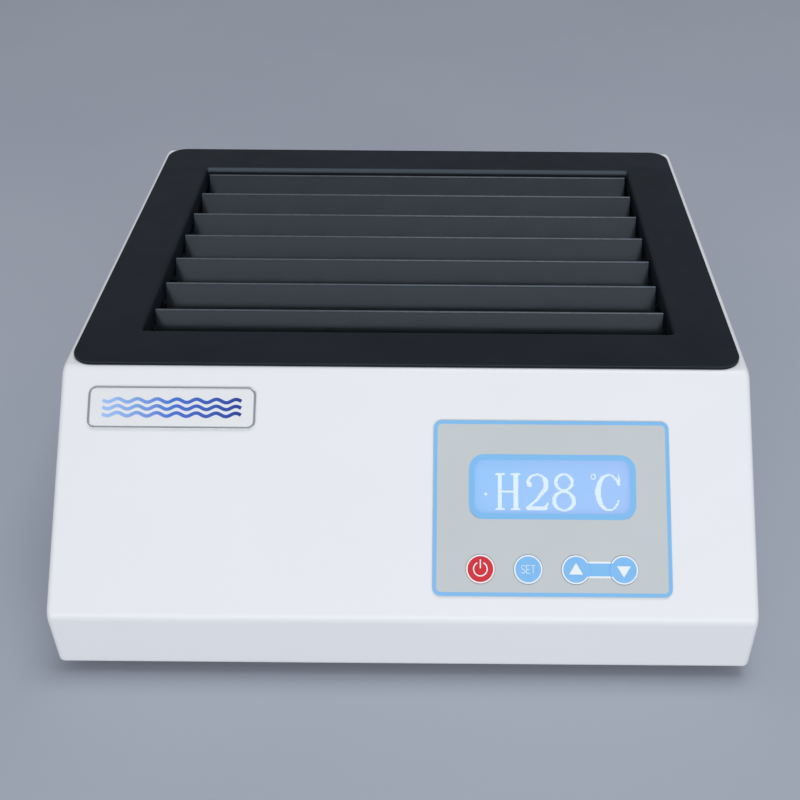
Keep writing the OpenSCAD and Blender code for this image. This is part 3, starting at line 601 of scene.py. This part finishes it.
def up_symbol(bm):
    slab(bm, [(-2.95, -2.0), (2.95, -2.0), (0, 2.9)], 0, PRINT_T)


def down_symbol(bm):
    slab(bm, [(-2.95, 1.6), (0, -3.1), (2.95, 1.6)], 0, PRINT_T)


def set_symbol(bm):
    """Three plain condensed letters."""
    line, h, w, gap = 0.24, 3.3, 1.5, 0.6
    x0 = -(3 * w + 2 * gap) / 2
    q = h / 4
    curve = [(x0 + w, h / 2 - 0.45), (x0 + w * 0.72, h / 2), (x0 + w * 0.28, h / 2), (x0, h / 2 - 0.5),
             (x0, q * 0.75), (x0 + w * 0.3, 0.18), (x0 + w * 0.7, -0.18), (x0 + w, -q * 0.75),
             (x0 + w, 0.5 - h / 2), (x0 + w * 0.72, -h / 2), (x0 + w * 0.28, -h / 2), (x0, 0.45 - h / 2)]
    ribbon(bm, curve, line, 0, PRINT_T)
    x1 = x0 + w + gap
    ribbon(bm, [(x1, -h / 2), (x1, h / 2)], line, 0, PRINT_T)
    for y, length in ((h / 2, w), (0, w * 0.8), (-h / 2, w)):
        ribbon(bm, [(x1, y), (x1 + length, y)], line, 0, PRINT_T)
    x2 = x1 + w + gap
    ribbon(bm, [(x2 + w / 2, -h / 2), (x2 + w / 2, h / 2)], line, 0, PRINT_T)
    ribbon(bm, [(x2 - 0.1, h / 2), (x2 + w + 0.1, h / 2)], line, 0, PRINT_T)


def key_prints():
    symbols = {"key_power": power_symbol, "key_set": set_symbol, "key_up": up_symbol, "key_down": down_symbol}
    # The two arrow keys' rings are open where the bar between them meets them.
    open_at = {"key_up": 0, "key_down": 180}
    gap = math.degrees(math.asin(LINK_H / 2 / KEY_RING[0]))
    ring_w = KEY_RING[1] - KEY_RING[0]
    ring_r = sum(KEY_RING) / 2
    for i, (key, symbol) in enumerate(symbols.items()):
        x = KEY_X0 + i * KEY_PITCH
        print_piece(key + "_symbol", symbol, x, KEY_S, KEY_TOP, PRINT_WHITE, key)

        def ring(bm):
            if key in open_at:
                start = open_at[key] + gap
                ribbon(bm, arc(ring_r, start, start + 360 - 2 * gap, steps=64), ring_w, 0, PRINT_T)
            else:
                slab(bm, circle(KEY_RING[1]), 0, PRINT_T, circle(KEY_RING[0]))
        print_piece(key + "_ring", ring, x, KEY_S, KEY_TOP, PRINT_WHITE, key)


# The readout. Its strokes are points in millimetres, x right and y up from the window's middle, and each
# point has the stroke's width there.

READOUT_TOP, READOUT_FOOT = 5.9, -9.9
DOT_PITCH, DOT = 0.42, 0.39
DOT_COLUMNS, DOT_ROWS = range(-75, 76), range(-27, 20)


def swelling(points, thin, thick):
    """Strokes that are thick where they run up and down, and thin where they run across."""
    out = []
    for i, p in enumerate(points):
        a, b = points[max(i - 1, 0)], points[min(i + 1, len(points) - 1)]
        d = Vector(b) - Vector(a)
        out.append((p[0], p[1], thin + (thick - thin) * (abs(d.y) / max(d.length, 1e-9)) ** 1.5))
    return out


def bar(x0, y0, x1, y1, w):
    return [(x0, y0, w), (x1, y1, w)]


def readout_strokes():
    """A running mark, H28, a degree sign and C, in the shapes of a dot-matrix book face."""
    top, foot = READOUT_TOP, READOUT_FOOT
    mid = (top + foot) / 2
    hair = 0.75
    strokes = []
    # H: two stems, a foot and a head on each, and a bar
    for stem in (-22.4, -15.6):
        for dx in (-0.55, 0, 0.55):
            strokes.append(bar(stem + dx, top - 0.5, stem + dx, foot + 0.5, 0.8))
        for y in (top - 0.35, foot + 0.35):
            strokes.append(bar(stem - 1.7, y, stem + 1.7, y, hair))
    strokes.append(bar(-22.4, mid + 0.1, -15.6, mid + 0.1, hair))
    # 2: a ball, a bowl, a diagonal and a foot that turns up
    strokes.append(bar(-9.7, top - 4.5, -9.5, top - 4.7, 2.2))
    strokes.append(swelling(arc(4.0, 172, 10, cx=-6.4, cy=top - 4.2, ry=3.8), 0.8, 1.3))
    strokes.append(swelling(arc(3.6, 30, -38, cx=-6.1, cy=top - 4.6, ry=4.4), 1.2, 2.2))
    strokes.append([(-3.5, top - 7.4, 1.9), (-6.6, top - 11.4, 1.1), (-10.4, foot + 1.2, 0.9)])
    strokes.append(bar(-10.4, foot + 0.95, -2.6, foot + 0.95, 1.7))
    strokes.append([(-2.7, foot + 1.0, 1.5), (-1.9, foot + 3.0, 0.8)])
    # 8: two loops that swell where they cross
    strokes.append(swelling(arc(3.55, 0, 360, cx=5.3, cy=top - 3.6, ry=3.4), 0.8, 1.5))
    strokes.append(swelling(arc(4.25, 0, 360, cx=5.2, cy=foot + 4.1, ry=4.0), 0.8, 1.8))
    # degree sign
    strokes.append([(x, y, 0.45) for x, y in arc(1.0, 0, 360, steps=20, cx=18.0, cy=top - 1.1)])
    # C: a bowl that is thick at its left, a spur at its head and a thin turned-up tail
    bowl = arc(4.7, 50, 333, cx=24.7, cy=mid, ry=7.6)
    strokes.append([(x, y, 0.75 + 1.6 * max(0.0, (24.7 - x) / 4.7) ** 1.3) for x, y in bowl])
    strokes.append([(27.9, top - 1.9, 0.9), (28.9, top - 4.3, 1.2)])
    strokes.append([(29.1, top - 0.2, 0.5), (29.1, top - 4.4, 0.8)])
    strokes.append(bar(-28.6, -3.1, -28.5, -3.1, 1.2))
    return strokes


def near(px, py, stroke):
    for (ax, ay, aw), (bx, by, bw) in zip(stroke, stroke[1:]):
        dx, dy = bx - ax, by - ay
        k = max(0.0, min(1.0, ((px - ax) * dx + (py - ay) * dy) / max(dx * dx + dy * dy, 1e-9)))
        if math.hypot(px - ax - k * dx, py - ay - k * dy) <= (aw + (bw - aw) * k) / 2:
            return True
    return False


def readout(bm):
    """The strokes as the square dots of a dot-matrix display."""
    strokes = readout_strokes()
    h = DOT / 2
    for i in DOT_COLUMNS:
        for j in DOT_ROWS:
            x, y = i * DOT_PITCH, j * DOT_PITCH
            if any(near(x, y, stroke) for stroke in strokes):
                slab(bm, [(x - h, y - h), (x + h, y - h), (x + h, y + h), (x - h, y + h)], 0, PRINT_T)


membrane_prints()
key_prints()
print_piece("readout_dots", readout, WINDOW["x"], WINDOW["s"], LCD_TOP, DIGITS)

# ---------------------------------------------------------------- nameplate


def plate_motif(bm):
    """Three plain waves, one above the other."""
    for row in (-1, 0, 1):
        points = []
        for k in range(WAVES["steps"] + 1):
            x = -WAVES["half"] + 2 * WAVES["half"] * k / WAVES["steps"]
            y = row * WAVES["rows"] + WAVES["height"] * math.sin(2 * math.pi * x / WAVES["length"])
            points.append((x, y))
        ribbon(bm, points, WAVES["line"], 0, PRINT_T)


def motif_material():
    """Ink that goes from pale blue at the left to deep blue at the right."""
    t = Tree("motif_ink")
    x = t.place()["X"]
    left, middle, right = ((NAMEPLATE["x"] + dx) * MM for dx in (-30, 0, 30))
    shade = t.mix(t.remap(x, left, middle, 0, 1), linear("#A2C8F8"), linear("#3F74D6"))
    shade = t.mix(t.remap(x, middle, right, 0, 1), shade, linear("#12329A"))
    tinted = t.add("ShaderNodeVectorMath", operation="SCALE")
    t.put(tinted.inputs[0], shade)
    t.put(tinted.inputs["Scale"], t.vary(0.0008, 0.94, 1.06))
    t.principled(Base_Color=tinted.outputs["Vector"], Roughness=0.3, Coat_Weight=0.4)
    return t.material


def nameplate_face(bm):
    p = NAMEPLATE
    inset = 2 * (p["rim"] + FACE_GAP)
    slab(bm, rounded(p["w"] - inset, p["h"] - inset, p["r"] - p["rim"]), 0, PRINT_T)


floor_n = NAMEPLATE["top"] - NAMEPLATE["rim_h"]
print_piece("nameplate_face", nameplate_face, NAMEPLATE["x"], NAMEPLATE["s"], floor_n, PLATE_FACE)
print_piece("nameplate_motif", plate_motif, NAMEPLATE["x"], NAMEPLATE["s"], floor_n + PRINT_T,
            motif_material())

# ---------------------------------------------------------------- softened edges

# The CAD nodes whose edges show, each with its rounding in millimetres.
SOFT_EDGES = {
    "top_panel": 0.5, "membrane_panel": 0.12, "lcd_window": 0.12, "nameplate": 0.18,
    "key_power": 0.15, "key_set": 0.15, "key_up": 0.15, "key_down": 0.15,
    "inlet_socket": 0.4, "fuse_drawer": 0.4, "switch_housing": 0.4, "power_rocker": 0.4,
    "rubber_feet": 0.6, "rear_panel": 0.3, "base_tray": 0.3, "cover_screws": 0.15, "rear_screws": 0.15,
    "inlet_screws": 0.15, "foot_screws": 0.15, "inlet_pins": 0.2,
}
for node, width in SOFT_EDGES.items():
    soften(nodes[node], width)

# ---------------------------------------------------------------- floor and light

FLOOR_HALF = 12
# Each light's place, what it points at, its width and height in metres, and its power in watts.
LIGHTS = {
    "top_box": ((0.25, 0.0, 1.5), (0, 0, 0), 0.7, 0.7, 6),
    "front_box": ((0.1, -2.1, 0.95), (0, 0, 0.05), 2.6, 1.2, 16),
    "low_box": ((0.0, -2.2, 0.42), (0, 0, 0.05), 2.6, 0.6, 10),
}
SKY_COLOR = (0.93, 0.95, 1.0, 1.0)
SKY_STRENGTH = 0.43


def stage_floor():
    bm = bmesh.new()
    bmesh.ops.create_grid(bm, x_segments=1, y_segments=1, size=FLOOR_HALF)
    mesh = bpy.data.meshes.new("floor")
    bm.to_mesh(mesh)
    bm.free()
    floor = bpy.data.objects.new("floor", mesh)
    bpy.context.scene.collection.objects.link(floor)
    t = Tree("floor_paint")
    shade = t.mix(t.vary(0.3, 0, 1), linear("#A9B0BD"), linear("#AEB5C1"))
    t.principled(Base_Color=shade, Roughness=0.75, Specular_IOR_Level=0.2)
    mesh.materials.append(t.material)


def softbox(name, at, aim, width, height, power):
    data = bpy.data.lights.new(name, "AREA")
    data.shape = "RECTANGLE"
    data.size, data.size_y = width, height
    data.energy = power
    light = bpy.data.objects.new(name, data)
    bpy.context.scene.collection.objects.link(light)
    light.location = at
    light.rotation_mode = "QUATERNION"
    light.rotation_quaternion = (Vector(aim) - Vector(at)).to_track_quat("-Z", "Y")


stage_floor()
for name, light in LIGHTS.items():
    softbox(name, *light)

world = bpy.data.worlds.new("studio")
world.use_nodes = True
background = world.node_tree.nodes["Background"]
background.inputs["Color"].default_value = SKY_COLOR
background.inputs["Strength"].default_value = SKY_STRENGTH
bpy.context.scene.world = world
bpy.context.scene.view_settings.view_transform = "Standard"
